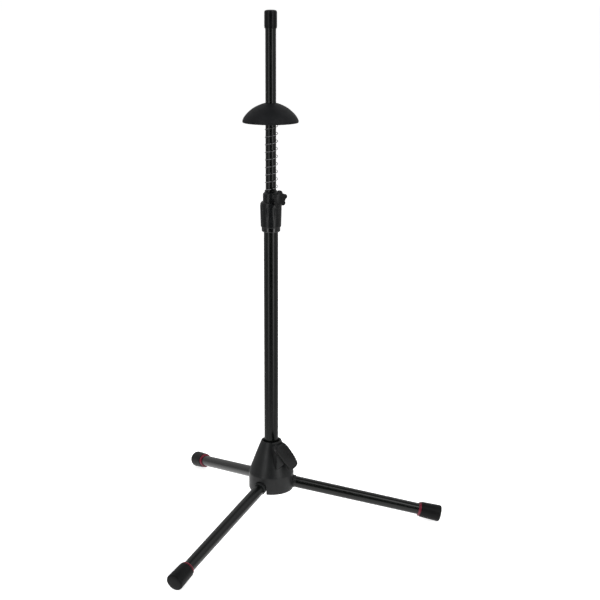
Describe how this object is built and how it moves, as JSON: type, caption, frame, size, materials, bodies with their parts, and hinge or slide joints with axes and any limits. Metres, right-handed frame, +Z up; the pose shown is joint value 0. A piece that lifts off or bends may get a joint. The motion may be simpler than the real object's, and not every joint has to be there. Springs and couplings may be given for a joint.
{
  "type": "folding brass instrument stand",
  "caption": "Folding tripod floor stand with a telescopic post, star-knob clutch and a sprung domed cone that carries an upturned bell.",
  "frame": {"origin": "on the post axis at floor level, in the middle of the three soles", "axes": "+Z up along the post; +X along the right-hand leg; the other legs at 120 and 240 degrees about +Z"},
  "size_m": [0.4239, 0.4866, 0.8071],
  "materials": {
    "hub_plastic": "satin moulded, fine texture",
    "knob_plastic": "satin moulded",
    "grip_plastic": "satin moulded, fluted",
    "cone_plastic": "smooth satin",
    "bush_plastic": "natural moulded",
    "gloss_black_paint": "gloss powder coat",
    "cap_rubber": "smooth moulded rubber",
    "foot_rubber": "smooth moulded rubber",
    "ring_crimson": "satin moulded",
    "spring_steel": "bright drawn wire",
    "plain_steel": "zinc plated",
    "insert_brass": "turned"
  },
  "bodies": {
    "base": {"hub_housing": "hub_plastic", "post_bush": "bush_plastic", "leg_pivot_pins": "plain_steel", "clamp_insert": "insert_brass"},
    "clamp": {"hub_lever": "knob_plastic", "hub_lever_screw": "plain_steel"},
    "leg_right": {"leg_tube_right": "gloss_black_paint", "leg_knuckle_right": "hub_plastic", "foot_ring_right": "ring_crimson", "foot_cap_right": "foot_rubber"},
    "leg_rear": {"leg_tube_rear": "gloss_black_paint", "leg_knuckle_rear": "hub_plastic", "foot_ring_rear": "ring_crimson", "foot_cap_rear": "foot_rubber"},
    "leg_front": {"leg_tube_front": "gloss_black_paint", "leg_knuckle_front": "hub_plastic", "foot_ring_front": "ring_crimson", "foot_cap_front": "foot_rubber"},
    "post": {"lower_tube": "gloss_black_paint", "post_foot_plug": "bush_plastic", "clutch_bush": "bush_plastic", "clutch_collar": "hub_plastic", "clutch_grip": "grip_plastic", "clutch_ring": "grip_plastic", "knob_insert": "insert_brass"},
    "knob": {"star_knob": "knob_plastic", "star_knob_stud": "plain_steel"},
    "rod": {"upper_rod": "gloss_black_paint", "rod_end_cap": "cap_rubber", "rod_guide_bush": "bush_plastic", "spring_stop": "gloss_black_paint", "cone_spring": "spring_steel"},
    "cone": {"bell_cone": "cone_plastic", "cone_bush": "bush_plastic"}
  },
  "joints": [
    {"name": "leg_right_fold", "type": "hinge", "parent": "base", "child": "leg_right", "pos_m": [0.024, 0, 0.07148], "axis": [0, 1, 0], "range_deg": [0, 74]},
    {"name": "leg_rear_fold", "type": "hinge", "parent": "base", "child": "leg_rear", "pos_m": [-0.012, 0.02079, 0.07148], "axis": [-0.866, -0.5, 0], "range_deg": [0, 74]},
    {"name": "leg_front_fold", "type": "hinge", "parent": "base", "child": "leg_front", "pos_m": [-0.012, -0.02079, 0.07148], "axis": [0.866, -0.5, 0], "range_deg": [0, 74]},
    {"name": "post_slide", "type": "slide", "parent": "base", "child": "post", "axis": [0, 0, 1], "range_m": [-0.26, 0]},
    {"name": "hub_lever_turn", "type": "hinge", "parent": "base", "child": "clamp", "pos_m": [0, 0, 0.1265], "axis": [0.5, -0.866, 0], "range_deg": [0, 270]},
    {"name": "rod_slide", "type": "slide", "parent": "post", "child": "rod", "axis": [0, 0, 1], "range_m": [0, 0.22]},
    {"name": "star_knob_turn", "type": "hinge", "parent": "post", "child": "knob", "pos_m": [0, 0, 0.532], "axis": [0.549, -0.8358, 0], "range_deg": [0, 540]},
    {"name": "cone_slide", "type": "slide", "parent": "rod", "child": "cone", "axis": [0, 0, 1], "range_m": [-0.075, 0], "stiffness_N_per_m": 300, "deforming": ["cone_spring"]}
  ]
}
